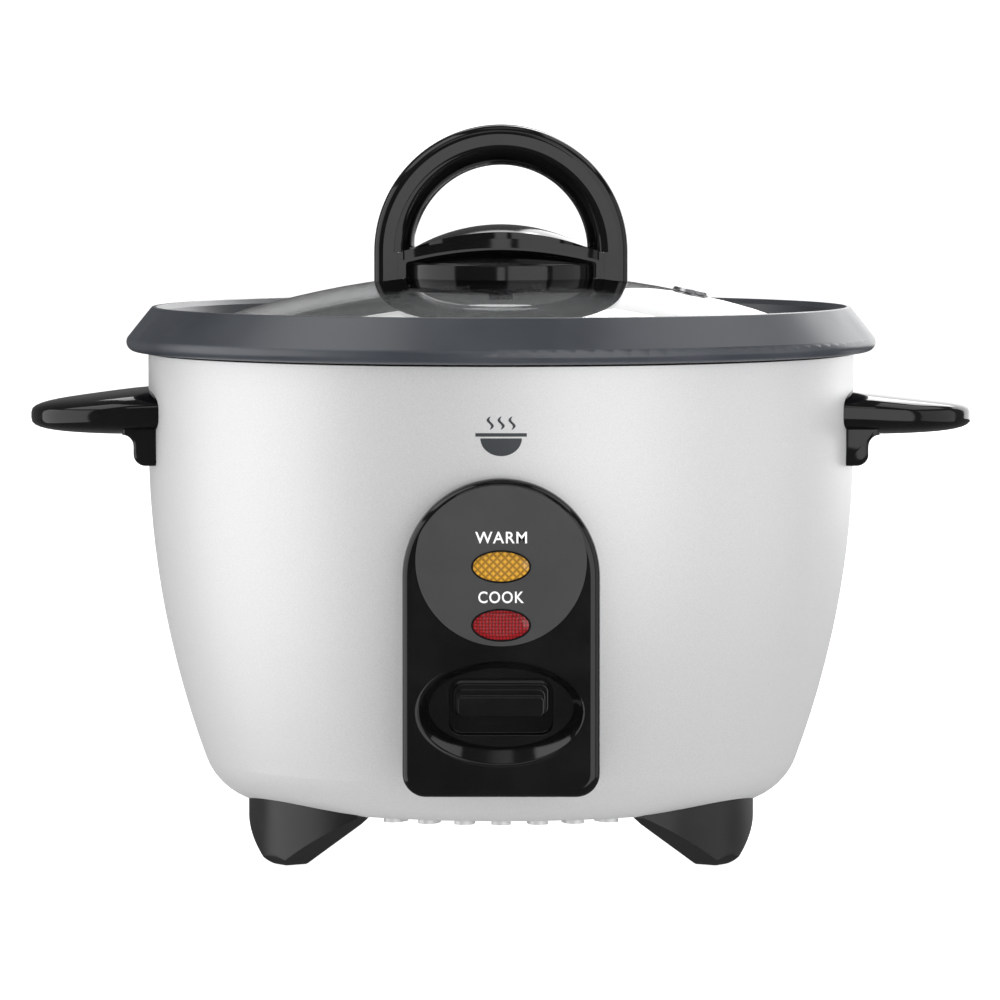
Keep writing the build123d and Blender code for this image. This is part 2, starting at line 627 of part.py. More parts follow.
def make_lens(lamp_z):
    """An oval lens with a domed face, a skirt through the panel and a flange behind it."""
    with BuildPart() as lens:
        with BuildSketch(front_plane(PANEL_FRONT + PLATE_PROUD)):
            with Locations((0, lamp_z)):
                Ellipse(LENS_RX, LENS_RZ)
        extrude(amount=-(PANEL_WALL + PLATE_PROUD))
        with BuildSketch(front_plane(PANEL_FRONT + PLATE_PROUD)):
            with Locations((0, lamp_z)):
                Ellipse(LENS_RX, LENS_RZ)
        with BuildSketch(front_plane(PANEL_FRONT + PLATE_PROUD + 0.7)):
            with Locations((0, lamp_z)):
                Ellipse(LENS_RX - 1.6, LENS_RZ - 1.2)
        loft()
        with BuildSketch(front_plane(PANEL_INNER)):
            with Locations((0, lamp_z)):
                Ellipse(LENS_RX + 1.2, LENS_RZ + 1.2)
        extrude(amount=-0.8)
    return lens


def make_bezel(lamp_z):
    """Thin black ring that fills the gap round a lens."""
    with BuildPart() as bezel:
        with BuildSketch(front_plane(PANEL_FRONT + PLATE_PROUD + 0.15)):
            with Locations((0, lamp_z)):
                Ellipse(LENS_RX + BEZEL, LENS_RZ + BEZEL)
                Ellipse(LENS_RX, LENS_RZ, mode=Mode.SUBTRACT)
        extrude(amount=-1.8)
    return bezel


def make_lamp(lamp_z):
    """A glass indicator lamp lying across the panel, with its two leads."""
    with BuildPart() as lamp:
        with BuildSketch(Plane.YZ.offset(-5)):
            with Locations((-LAMP_Y, lamp_z)):
                Circle(LAMP_R)
        extrude(amount=11)
        fillet(edges().group_by(Axis.X)[-1], 2)
        with BuildSketch(Plane.YZ.offset(-5)):
            with Locations((-LAMP_Y, lamp_z + 1.2), (-LAMP_Y, lamp_z - 1.2)):
                Circle(0.3)
        extrude(amount=-3.5)
    return lamp


LAMP_Y, LAMP_R = 98.2, 2.5
for lamp_name, lamp_height in LAMP_Z.items():
    save(make_lens(lamp_height), f"{lamp_name}_lens")
    save(make_bezel(lamp_height), f"{lamp_name}_bezel")
    save(make_lamp(lamp_height), f"{lamp_name}_lamp")

with BuildPart() as lamp_holder:
    with BuildSketch(front_plane(LAMP_Y - LAMP_R - 1.4)):
        with Locations((0, 80.8)):
            RectangleRounded(22, 26, 2)
    extrude(amount=1.2)
    for lamp_z in LAMP_Z.values():
        with BuildSketch(Plane.YZ.offset(-4)):
            with Locations((-LAMP_Y, lamp_z)):
                Circle(LAMP_R + 1)
                Circle(LAMP_R + 0.02, mode=Mode.SUBTRACT)
            with Locations((-LAMP_Y - 3, lamp_z)):
                Rectangle(4.4, 8, mode=Mode.SUBTRACT)
        extrude(amount=3)
save(lamp_holder, "lamp_holder")

# ---------------------------------------------------------------- side handles
def half_ellipsoid(height):
    """The upper half of a grip's oval if height is positive, and the lower half if negative."""
    oval = scale(Sphere(1, mode=Mode.PRIVATE), mode=Mode.PRIVATE,
                 by=(HANDLE_TIP_X - HANDLE_ROOT_X, HANDLE_HALF_WIDTH, abs(height)))
    half_space = Box(200, 200, 20, mode=Mode.PRIVATE)
    kept = oval & (Pos(0, 0, 10 if height > 0 else -10) * half_space)
    return Pos(HANDLE_ROOT_X, 0, HANDLE_Z) * kept


def make_side_handle(side):
    """A moulded grip: a half-oval plate with a crowned top, on a leg that lies against the body."""
    with BuildPart() as grip:
        add(half_ellipsoid(HANDLE_CROWN))
        add(half_ellipsoid(-HANDLE_BELLY))
        with BuildSketch(Plane.XZ):
            with Locations(((90 + HANDLE_LEG_X) / 2, (HANDLE_LEG_BOTTOM + HANDLE_Z) / 2)):
                Rectangle(HANDLE_LEG_X - 90, HANDLE_Z - HANDLE_LEG_BOTTOM)
            fillet(vertices().group_by(Axis.Y)[0].sort_by(Axis.X)[-1], LEG_CORNER_R)
        extrude(amount=HANDLE_LEG_HALF, both=True)
        revolve(body_section(-0.02, SHELL_TOP + 5), axis=Axis.Z, mode=Mode.SUBTRACT)
        with BuildSketch(Plane.XY):
            with Locations((-200, 0)):
                Rectangle(560, 400)
        extrude(amount=200, mode=Mode.SUBTRACT)
        with BuildSketch(Plane.YZ.offset(90)):
            with Locations((HANDLE_SCREW_Y, HANDLE_SCREW_Z), (-HANDLE_SCREW_Y, HANDLE_SCREW_Z)):
                Circle(1.3)
        extrude(amount=13.5, mode=Mode.SUBTRACT)
        if side < 0:
            mirror(about=Plane.YZ, mode=Mode.REPLACE)
    return grip


save(make_side_handle(1), "side_handle_right")
save(make_side_handle(-1), "side_handle_left")

HANDLE_SCREW_SEAT = sqrt((SHELL_R - SHEET) ** 2 - (HANDLE_SCREW_Y + 2.5) ** 2)
handle_screw_planes = [
    Plane(origin=(side * HANDLE_SCREW_SEAT, y, HANDLE_SCREW_Z), x_dir=(0, 1, 0), z_dir=(-side, 0, 0))
    for side in (1, -1)
    for y in (HANDLE_SCREW_Y, -HANDLE_SCREW_Y)
]
save(make_screws(handle_screw_planes, 1.25, 4.5, 2.5, 1.6), "handle_screws")

# ---------------------------------------------------------------- power inlet
with BuildPart() as inlet_surround:
    with BuildSketch(Plane.XZ.offset(-INLET_FACE)):
        with Locations((0, INLET_Z)):
            RectangleRounded(2 * INLET_HALF[0] + 9, 2 * INLET_HALF[1] + 7, 4)
            Rectangle(2 * INLET_HALF[0], 2 * INLET_HALF[1], mode=Mode.SUBTRACT)
    extrude(amount=25)
    fillet(faces().sort_by(Axis.Y)[-1].outer_wire().edges(), 1.2)
    revolve(body_section(0), axis=Axis.Z, mode=Mode.SUBTRACT)
save(inlet_surround, "inlet_surround")

SOCKET_HALF = (12.2, 8.3)
SOCKET_FLOOR = 80.0
PIN_SPOTS = ((-7.0, -2.0), (0.0, 2.0), (7.0, -2.0))
with BuildPart() as power_inlet:
    with BuildSketch(Plane.XZ.offset(-INLET_FACE)):
        with Locations((0, INLET_Z)):
            Rectangle(2 * INLET_HALF[0], 2 * INLET_HALF[1])
    extrude(amount=INLET_FACE - SOCKET_FLOOR + 3)
    with BuildSketch(Plane.XZ.offset(-INLET_FACE)):
        with Locations((0, INLET_Z)):
            Rectangle(2 * SOCKET_HALF[0], 2 * SOCKET_HALF[1])
        chamfer(vertices().group_by(Axis.Y)[-1], 4)
    extrude(amount=INLET_FACE - SOCKET_FLOOR, mode=Mode.SUBTRACT)
    with BuildSketch(Plane.XZ.offset(-SOCKET_FLOOR)):
        for x, z in PIN_SPOTS:
            with Locations((x, INLET_Z + z)):
                Rectangle(2, 4)
    extrude(amount=3, mode=Mode.SUBTRACT)
save(power_inlet, "power_inlet")

PIN_TIP, PIN_TAIL = 88.0, 71.0
with BuildPart() as inlet_pins:
    with BuildSketch(Plane.XZ.offset(-PIN_TIP)):
        for x, z in PIN_SPOTS:
            with Locations((x, INLET_Z + z)):
                Rectangle(2, 4)
    extrude(amount=PIN_TIP - PIN_TAIL)
save(inlet_pins, "inlet_pins")

# ---------------------------------------------------------------- fuse, warmer, wires
FUSE_SPOT, WARMER_SPOT = (30.0, 34.0), (-30.0, 34.0)
with BuildPart() as thermal_fuse:
    with BuildSketch(Plane.YZ.offset(FUSE_SPOT[0] - 6)):
        with Locations((FUSE_SPOT[1] + 20, HOTPLATE_Z[0] - 2.1)):
            Circle(2)
    extrude(amount=12)
save(thermal_fuse, "thermal_fuse")

with BuildPart() as fuse_clamp:
    with BuildSketch(Plane.YZ.offset(FUSE_SPOT[0] - 2.5)):
        with Locations((FUSE_SPOT[1] + 20, HOTPLATE_Z[0] - 2.1)):
            Circle(2.8)
            Rectangle(5.6, 2.1, align=(Align.CENTER, Align.MIN))
            Circle(2.02, mode=Mode.SUBTRACT)
            Rectangle(4.04, 2.1, align=(Align.CENTER, Align.MIN), mode=Mode.SUBTRACT)
        with Locations((FUSE_SPOT[1] + 20, HOTPLATE_Z[0])):
            Rectangle(8, 4, align=(Align.CENTER, Align.MIN), mode=Mode.SUBTRACT)
    extrude(amount=5)
save(fuse_clamp, "fuse_clamp")

with BuildPart() as keep_warm_heater:
    with BuildSketch(Plane.XY.offset(HOTPLATE_Z[0] - 5.1)):
        with Locations((WARMER_SPOT[0], WARMER_SPOT[1] + 20)):
            RectangleRounded(22, 7, 1.5)
    extrude(amount=5)
save(keep_warm_heater, "keep_warm_heater")

WIRE_Z = FLOOR_Z + 3.0
save(wire_along([(7, PIN_TAIL, 32), (7, 62, 32), (24, 50, WIRE_Z), (30, 10, WIRE_Z),
                 (24, -40, WIRE_Z), (13, -60, WIRE_Z), (8.2, -60.3, WIRE_Z)], 4), "wire_live")
save(wire_along([(-7, PIN_TAIL, 32), (-7, 62, 32), (-15, 50, 24), (-21, 36.4, 24.3)], 4),
     "wire_neutral")
save(wire_along([(0, PIN_TAIL, 36), (0, 64, 36), (10, 52, 28), (12, 44, FLOOR_Z + 2)], 3),
     "wire_earth")
save(wire_along([(-9.5, -92.2, 78), (-12, -91.6, 62), (-14, -80, 40), (-14, -66, 24),
                 (-8, -62, WIRE_Z), (1.4, -62, WIRE_Z)], 3, 0.8), "wire_lamps")

# ---------------------------------------------------------------- inner pot
CREST_R = 99.6
BEAD_X, BEAD_Z = RIM_R - BEAD_R, SHELL_TOP + 0.7 + BEAD_R
RIM_SKIRT_T = 1.8
RIM_UNDER_Z = SHELL_TOP + 0.35
SKIRT_ANGLE = 39.0         # the skirt's outward normal, above the horizontal


def bead_point(angle, radius=BEAD_R):
    """A point on the hem's round edge."""
    return (BEAD_X + radius * cos(radians(angle)), BEAD_Z + radius * sin(radians(angle)))


with BuildPart() as inner_pot:
    inside_r = POT_CURVE_R - POT_WALL
    curve_x = POT_R_LOW - POT_CURVE_R
    skirt_in = bead_point(SKIRT_ANGLE, BEAD_R - RIM_SKIRT_T)
    with BuildSketch(Plane.XZ):
        with BuildLine():
            floor_in = CenterArc((curve_x, POT_CURVE_Z), inside_r, -90, 90)
            floor_out = CenterArc((curve_x, POT_CURVE_Z), POT_CURVE_R, -90, 90)
            hem = CenterArc((BEAD_X, BEAD_Z), BEAD_R, -90, 90 + SKIRT_ANGLE)
            Line((0, POT_FLOOR_Z), floor_out @ 0)
            Line((0, POT_FLOOR_Z), (0, POT_FLOOR_Z + POT_WALL))
            Line((0, POT_FLOOR_Z + POT_WALL), floor_in @ 0)
            Polyline(floor_in @ 1, (POT_R_HIGH - POT_WALL, SEAT_Z - 5), (POT_R_HIGH + 1, SEAT_Z),
                     (94.2, SEAT_Z), (97.6, CREST_Z - 1.5), (CREST_R - 0.6, CREST_Z),
                     (CREST_R + 0.6, CREST_Z - 0.1), hem @ 1)
            Polyline(hem @ 0, (102.2, SHELL_TOP + 0.7), (102.2, SHELL_TOP + 2.6), skirt_in,
                     (100.0, CREST_Z - 2.6), (99.2, CREST_Z - 2.6), (95.6, RIM_UNDER_Z),
                     (POT_R_HIGH + 2.2, RIM_UNDER_Z), (POT_R_HIGH, SEAT_Z - 5), floor_out @ 1)
        make_face()
    revolve(axis=Axis.Z)
    rim = edges().filter_by(GeomType.CIRCLE)
    fillet(rim.filter_by(lambda e: abs(e.radius - CREST_R) < 0.7 and e.center().Z > CREST_Z - 0.2),
           0.5)
save(inner_pot, "inner_pot")

# ---------------------------------------------------------------- glass lid
VENT_TILT = asin(VENT_X / GLASS_SPHERE_R)
VENT_SPOT = Vector(VENT_X, 0, sphere_z(VENT_X))
VENT_UP = Vector(sin(VENT_TILT), 0, cos(VENT_TILT))
VENT_ALONG = Vector(cos(VENT_TILT), 0, -sin(VENT_TILT))
VENT_HOLE_R, VENT_BORE_R = 4.0, 1.4

with BuildPart() as lid_glass:
    with BuildSketch(Plane.XZ):
        with BuildLine():
            top = ThreePointArc((0, GLASS_APEX_Z), (GLASS_R / 2, sphere_z(GLASS_R / 2)),
                                (GLASS_R, sphere_z(GLASS_R)))
            low = ThreePointArc((0, GLASS_APEX_Z - GLASS_T), (GLASS_R / 2, sphere_z(GLASS_R / 2, GLASS_T)),
                                (GLASS_R, sphere_z(GLASS_R, GLASS_T)))
            Line(top @ 0, low @ 0)
            Line(top @ 1, low @ 1)
        make_face()
        fillet(vertices().group_by(Axis.X)[-1], 1.2)
    revolve(axis=Axis.Z)
    with BuildSketch(Plane(origin=VENT_SPOT + VENT_UP * 5, x_dir=VENT_ALONG, z_dir=VENT_UP)):
        Circle(VENT_HOLE_R)
    with BuildSketch(Plane.XY.offset(GLASS_APEX_Z + 5)):
        Circle(4)
    extrude(amount=-15, mode=Mode.SUBTRACT)
save(lid_glass, "lid_glass")

with BuildPart() as steam_vent:
    with BuildSketch(Plane(origin=VENT_SPOT, x_dir=VENT_ALONG, z_dir=(0, -1, 0))):
        with BuildLine():
            Polyline((VENT_BORE_R, -GLASS_T - 1.2), (VENT_HOLE_R + 1.4, -GLASS_T - 1.2),
                     (VENT_HOLE_R + 1.4, -GLASS_T - 0.2), (VENT_HOLE_R - 0.1, -GLASS_T - 0.2),
                     (VENT_HOLE_R - 0.1, 0.1), (VENT_HOLE_R + 1.4, 0.1),
                     (VENT_HOLE_R + 0.9, 1.0), (VENT_BORE_R, 1.0), close=True)
        make_face()
    revolve(axis=Axis(origin=VENT_SPOT, direction=VENT_UP))
save(steam_vent, "steam_vent")


def glass_ball(gap):
    """The outside of the glass as a whole ball, gap larger, for trimming what rests on it."""
    return Pos(0, 0, GLASS_CENTRE_Z) * Sphere(GLASS_SPHERE_R + gap, mode=Mode.PRIVATE)


def puck_section(gap):
    """Half section of the lid handle's round foot, made larger by gap."""
    side, rise = PUCK_R + gap, PUCK_WALL_TOP + gap
    with BuildSketch(Plane.XZ) as section:
        with BuildLine():
            ThreePointArc((side, rise), (side * 0.6, rise + 2.4), (0, rise + 3.9))
            Polyline((0, rise + 3.9), (0, GLASS_APEX_Z - 15), (side, GLASS_APEX_Z - 15), (side, rise))
        make_face()
        fillet(vertices().group_by(Axis.X)[-1].sort_by(Axis.Y)[-1], 0.9)
    return section.sketch


with BuildPart() as lid_handle_base:
    revolve(puck_section(0), axis=Axis.Z)
    add(glass_ball(0), mode=Mode.SUBTRACT)
    with BuildSketch(Plane.XY.offset(GLASS_APEX_Z - 1)):
        Circle(2.1)
    extrude(amount=10, mode=Mode.SUBTRACT)
save(lid_handle_base, "lid_handle_base")

BAR_SIDE_Z, BAR_MID_Z, BAR_T = 172.3, 176.0, 2.6
BAR_HALF, BAR_HALF_DEPTH = 28.0, 15.0
WEB_HALF_DEPTH = 7.0       # wall under the crossbar, down to the round foot and the glass
CAP_DOME_HALF, CAP_DOME_R, CAP_DOME_TOP = 24.6, 49.7, 179.8


def arch_section():
    """The arch's section: flat band outside, rounded towards the finger gap."""
    with Locations((ARCH_R - ARCH_BAND / 2, 0)):
        Rectangle(ARCH_BAND, 2 * ARCH_HALF_DEPTH)
    with Locations((ARCH_R - ARCH_BAND, 0)):
        Ellipse(ARCH_R - ARCH_BAND - ARCH_HOLE_R, ARCH_HALF_DEPTH)
    fillet(vertices().group_by(Axis.X)[-1], ARCH_EDGE_R)


with BuildPart() as lid_handle:
    with BuildSketch(front_plane(BAR_HALF_DEPTH)):
        with BuildLine():
            top_arc = ThreePointArc((-BAR_HALF, BAR_SIDE_Z), (0, BAR_MID_Z), (BAR_HALF, BAR_SIDE_Z))
            low_arc = ThreePointArc((-BAR_HALF, BAR_SIDE_Z - BAR_T), (0, BAR_MID_Z - BAR_T),
                                    (BAR_HALF, BAR_SIDE_Z - BAR_T))
            Line(top_arc @ 0, low_arc @ 0)
            Line(top_arc @ 1, low_arc @ 1)
        make_face()
    extrude(amount=-2 * BAR_HALF_DEPTH)
    with BuildSketch(Plane.XY.offset(BAR_SIDE_Z - 10)):
        Ellipse(33, BAR_HALF_DEPTH)
    extrude(amount=20, mode=Mode.INTERSECT)
    with BuildSketch(Plane.XY.offset(ARCH_Z)):
        arch_section()
    revolve(axis=Axis(origin=(0, 0, ARCH_Z), direction=(0, 1, 0)), revolution_arc=-180)
    with BuildSketch(Plane.XY.offset(ARCH_Z)):
        with Locations((ARCH_R / 2 + LEG_INNER_X / 2, 0), (-ARCH_R / 2 - LEG_INNER_X / 2, 0)):
            Rectangle(ARCH_R - LEG_INNER_X, 2 * ARCH_HALF_DEPTH)
        fillet(vertices().group_by(Axis.X)[0] + vertices().group_by(Axis.X)[-1], ARCH_EDGE_R)
    extrude(amount=-14)
    with BuildSketch(front_plane(WEB_HALF_DEPTH)):
        with BuildLine():
            web_arc = ThreePointArc((-LEG_INNER_X - 1, BAR_SIDE_Z - 1), (0, BAR_MID_Z - 1),
                                    (LEG_INNER_X + 1, BAR_SIDE_Z - 1))
            Polyline(web_arc @ 1, (LEG_INNER_X + 1, 155), (-LEG_INNER_X - 1, 155), web_arc @ 0)
        make_face()
    extrude(amount=-2 * WEB_HALF_DEPTH)
    revolve(puck_section(0.1), axis=Axis.Z, mode=Mode.SUBTRACT)
    with BuildSketch(Plane.XY.offset(BAR_MID_Z)):
        Circle(1.6)
    extrude(amount=-10, mode=Mode.SUBTRACT)
    add(glass_ball(0.1), mode=Mode.SUBTRACT)
save(lid_handle, "lid_handle")

# The cap is a shallow dome on the crossbar; its underside follows the crossbar's arch.
with BuildPart() as lid_handle_cap:
    with BuildSketch(Plane.XY.offset(BAR_SIDE_Z - 1)):
        Ellipse(CAP_DOME_HALF, BAR_HALF_DEPTH - 1.2)
    extrude(amount=10)
    add(Pos(0, 0, CAP_DOME_TOP - CAP_DOME_R) * Sphere(CAP_DOME_R, mode=Mode.PRIVATE),
        mode=Mode.INTERSECT)
    with BuildSketch(front_plane(BAR_HALF_DEPTH + 1)):
        with BuildLine():
            seat = ThreePointArc((-BAR_HALF, BAR_SIDE_Z), (0, BAR_MID_Z), (BAR_HALF, BAR_SIDE_Z))
            Polyline(seat @ 1, (BAR_HALF, BAR_SIDE_Z - 9), (-BAR_HALF, BAR_SIDE_Z - 9), seat @ 0)
        make_face()
    extrude(amount=-2 * BAR_HALF_DEPTH - 2, mode=Mode.SUBTRACT)
save(lid_handle_cap, "lid_handle_cap")

# ---------------------------------------------------------------- lid fastening
SEAL_R, SEAL_T = 9.0, 1.2
with BuildPart() as lid_seal:
    with BuildSketch(Plane.XY.offset(GLASS_APEX_Z - GLASS_T - 0.2 - SEAL_T)):
        Circle(SEAL_R)
        Circle(2.2, mode=Mode.SUBTRACT)
    extrude(amount=SEAL_T)
save(lid_seal, "lid_seal")

washer_low = GLASS_APEX_Z - GLASS_T - 0.2 - SEAL_T - 0.8
with BuildPart() as lid_washer:
    with BuildSketch(Plane.XY.offset(washer_low)):
        Circle(SEAL_R - 1.5)
        Circle(2.2, mode=Mode.SUBTRACT)
    extrude(amount=0.8)
save(lid_washer, "lid_washer")

lid_screw_plane = Plane(origin=(0, 0, washer_low), x_dir=(1, 0, 0), z_dir=(0, 0, -1))
save(make_screws([lid_screw_plane], 1.6, 13.5, 3.6, 2.2), "lid_screw")
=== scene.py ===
"""Looks for a small drum rice cooker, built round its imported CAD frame. Metres, +Z up, front at -Y."""
import json
import math

import bmesh
import bpy
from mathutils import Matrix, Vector

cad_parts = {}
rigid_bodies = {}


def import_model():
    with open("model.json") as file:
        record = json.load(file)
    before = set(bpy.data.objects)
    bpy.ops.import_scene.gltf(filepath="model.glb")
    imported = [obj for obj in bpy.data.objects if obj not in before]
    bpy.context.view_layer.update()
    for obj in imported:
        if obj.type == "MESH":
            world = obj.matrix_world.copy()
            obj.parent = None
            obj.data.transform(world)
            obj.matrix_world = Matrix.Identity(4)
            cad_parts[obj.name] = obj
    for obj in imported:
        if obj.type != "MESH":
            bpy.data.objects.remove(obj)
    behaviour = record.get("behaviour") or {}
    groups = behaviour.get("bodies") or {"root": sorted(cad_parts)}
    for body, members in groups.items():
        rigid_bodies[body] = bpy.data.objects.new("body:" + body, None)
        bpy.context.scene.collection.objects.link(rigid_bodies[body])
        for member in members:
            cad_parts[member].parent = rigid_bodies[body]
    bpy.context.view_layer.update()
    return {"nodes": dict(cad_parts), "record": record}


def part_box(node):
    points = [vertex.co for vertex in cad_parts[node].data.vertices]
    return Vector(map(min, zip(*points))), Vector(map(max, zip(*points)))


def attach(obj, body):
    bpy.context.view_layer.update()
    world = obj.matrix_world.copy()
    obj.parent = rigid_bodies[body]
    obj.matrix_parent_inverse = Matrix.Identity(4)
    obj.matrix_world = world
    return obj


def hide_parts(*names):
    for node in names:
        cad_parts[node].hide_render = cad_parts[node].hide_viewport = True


for leftover in list(bpy.data.objects):
    bpy.data.objects.remove(leftover)

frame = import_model()
nodes = frame["nodes"]
MM = 0.001


# ---------------------------------------------------------------- materials
def new_material(name, **values):
    """A Principled material whose constant values sit on the shader's own sockets."""
    mat = bpy.data.materials.new(name)
    mat.use_nodes = True
    shader = mat.node_tree.nodes["Principled BSDF"]
    for key, value in values.items():
        shader.inputs[key.replace("_", " ")].default_value = value
    return mat


def noise_for(mat, size, detail=3.0, stretch=(1, 1, 1)):
    """A noise texture in the row frame, with features about size metres across."""
    tree = mat.node_tree
    coords = tree.nodes.new("ShaderNodeTexCoord")
    mapping = tree.nodes.new("ShaderNodeMapping")
    mapping.inputs["Scale"].default_value = stretch
    noise = tree.nodes.new("ShaderNodeTexNoise")
    noise.inputs["Scale"].default_value = 1 / size
    noise.inputs["Detail"].default_value = detail
    tree.links.new(coords.outputs["Object"], mapping.inputs["Vector"])
    tree.links.new(mapping.outputs["Vector"], noise.inputs["Vector"])
    return noise


def vary_colour(mat, source, dark, light, low=0.35, high=0.65):
    """Colour runs from dark to light with the texture."""
    tree = mat.node_tree
    ramp = tree.nodes.new("ShaderNodeValToRGB")
    ramp.color_ramp.elements[0].position, ramp.color_ramp.elements[1].position = low, high
    ramp.color_ramp.elements[0].color = (*dark, 1)
    ramp.color_ramp.elements[1].color = (*light, 1)
    tree.links.new(source, ramp.inputs["Fac"])
    tree.links.new(ramp.outputs["Color"], tree.nodes["Principled BSDF"].inputs["Base Color"])


def vary_roughness(mat, source, low, high):
    """Roughness runs from low to high with the texture."""
    tree = mat.node_tree
    ranger = tree.nodes.new("ShaderNodeMapRange")
    ranger.inputs["From Min"].default_value = 0.3
    ranger.inputs["From Max"].default_value = 0.7
    ranger.inputs["To Min"].default_value = low
    ranger.inputs["To Max"].default_value = high
    tree.links.new(source, ranger.inputs["Value"])
    tree.links.new(ranger.outputs["Result"], tree.nodes["Principled BSDF"].inputs["Roughness"])


def add_bump(mat, source, height):
    """Small relief, height metres deep."""
    tree = mat.node_tree
    bump = tree.nodes.new("ShaderNodeBump")
    bump.inputs["Distance"].default_value = height
    bump.inputs["Strength"].default_value = 1.0
    tree.links.new(source, bump.inputs["Height"])
    tree.links.new(bump.outputs["Normal"], tree.nodes["Principled BSDF"].inputs["Normal"])


def plastic(name, colour, rough, spread, relief=2e-6, tone=0.25, **values):
    """Moulded plastic: slight tone change, a roughness that wanders and a fine relief."""
    mat = new_material(name, **values)
    wide = noise_for(mat, 0.011, 4)
    fine = noise_for(mat, 0.0004, 2)
    darker, lighter = [[c * share for c in colour] for share in (1 - tone, 1 + tone)]
    vary_colour(mat, wide.outputs["Fac"], darker, lighter)
    vary_roughness(mat, wide.outputs["Fac"], rough, rough + spread)
    add_bump(mat, fine.outputs["Fac"], relief)
    return mat


def metal(name, colour, rough, spread, stretch=(1, 1, 1), relief=3e-6):
    """Bare or plated metal; a stretch under 1 draws the grain out along that axis."""
    mat = new_material(name, Metallic=1.0)
    lines = noise_for(mat, 0.0006, 4, stretch)
    cloud = noise_for(mat, 0.014, 3)
    vary_colour(mat, cloud.outputs["Fac"], [c * 0.86 for c in colour], colour)
    vary_roughness(mat, lines.outputs["Fac"], rough, rough + spread)
    add_bump(mat, lines.outputs["Fac"], relief)
    return mat


def pearl_paint():
    """Silver-white satin paint: dense fine flakes and a faint orange peel."""
    mat = new_material("pearl_paint", Metallic=0.5, Specular_IOR_Level=0.35)
    flakes = noise_for(mat, 0.0003, 2)
    vary_colour(mat, flakes.outputs["Fac"], (0.65, 0.65, 0.655), (0.74, 0.74, 0.745), 0.3, 0.7)
    vary_roughness(mat, flakes.outputs["Fac"], 0.42, 0.5)
    add_bump(mat, flakes.outputs["Fac"], 4e-6)
    return mat


def pot_coating():
    """Blue-grey non-stick coating: satin, with a fine sprayed texture."""
    mat = new_material("pot_coating", Specular_IOR_Level=0.9)
    spray = noise_for(mat, 0.0005, 3)
    cloud = noise_for(mat, 0.02, 3)
    vary_colour(mat, cloud.outputs["Fac"], (0.030, 0.035, 0.044), (0.040, 0.046, 0.057))
    vary_roughness(mat, cloud.outputs["Fac"], 0.30, 0.38)
    add_bump(mat, spray.outputs["Fac"], 4e-6)
    return mat


def smoked_glass():
    """Tempered glass with a grey tint and the faintest ripple."""
    mat = new_material("smoked_glass", Base_Color=(0.45, 0.46, 0.46, 1), Transmission_Weight=1.0,
                       IOR=1.5)
    ripple = noise_for(mat, 0.03, 2)
    vary_roughness(mat, ripple.outputs["Fac"], 0.0, 0.02)
    return mat


def lens_material(name, dark, light, cell, turn, metric):
    """Coloured lamp lens: glossy skin over moulded cells, cell metres apart, turned by turn degrees."""
    mat = new_material(name, Coat_Weight=0.5, Coat_Roughness=0.04, Specular_IOR_Level=0.5)
    tree = mat.node_tree
    coords = tree.nodes.new("ShaderNodeTexCoord")
    mapping = tree.nodes.new("ShaderNodeMapping")
    mapping.vector_type = "TEXTURE"
    mapping.inputs["Rotation"].default_value = (0, math.radians(turn), 0)
    mapping.inputs["Scale"].default_value = (cell, 1.0, cell)
    cells = tree.nodes.new("ShaderNodeTexVoronoi")
    cells.distance = metric
    cells.inputs["Scale"].default_value = 1.0
    cells.inputs["Randomness"].default_value = 0.0
    tree.links.new(coords.outputs["Object"], mapping.inputs["Vector"])
    tree.links.new(mapping.outputs["Vector"], cells.inputs["Vector"])
    # Painted light and shade over the lens's own amber or red: a painted highlight at each cell's middle,
    # darkening towards its edges as painted shade in the creases between cells.
    vary_colour(mat, cells.outputs["Distance"], light, dark, 0.12, 0.62)
    vary_roughness(mat, cells.outputs["Distance"], 0.12, 0.3)
    add_bump(mat, cells.outputs["Distance"], 1.2e-4)
    return mat


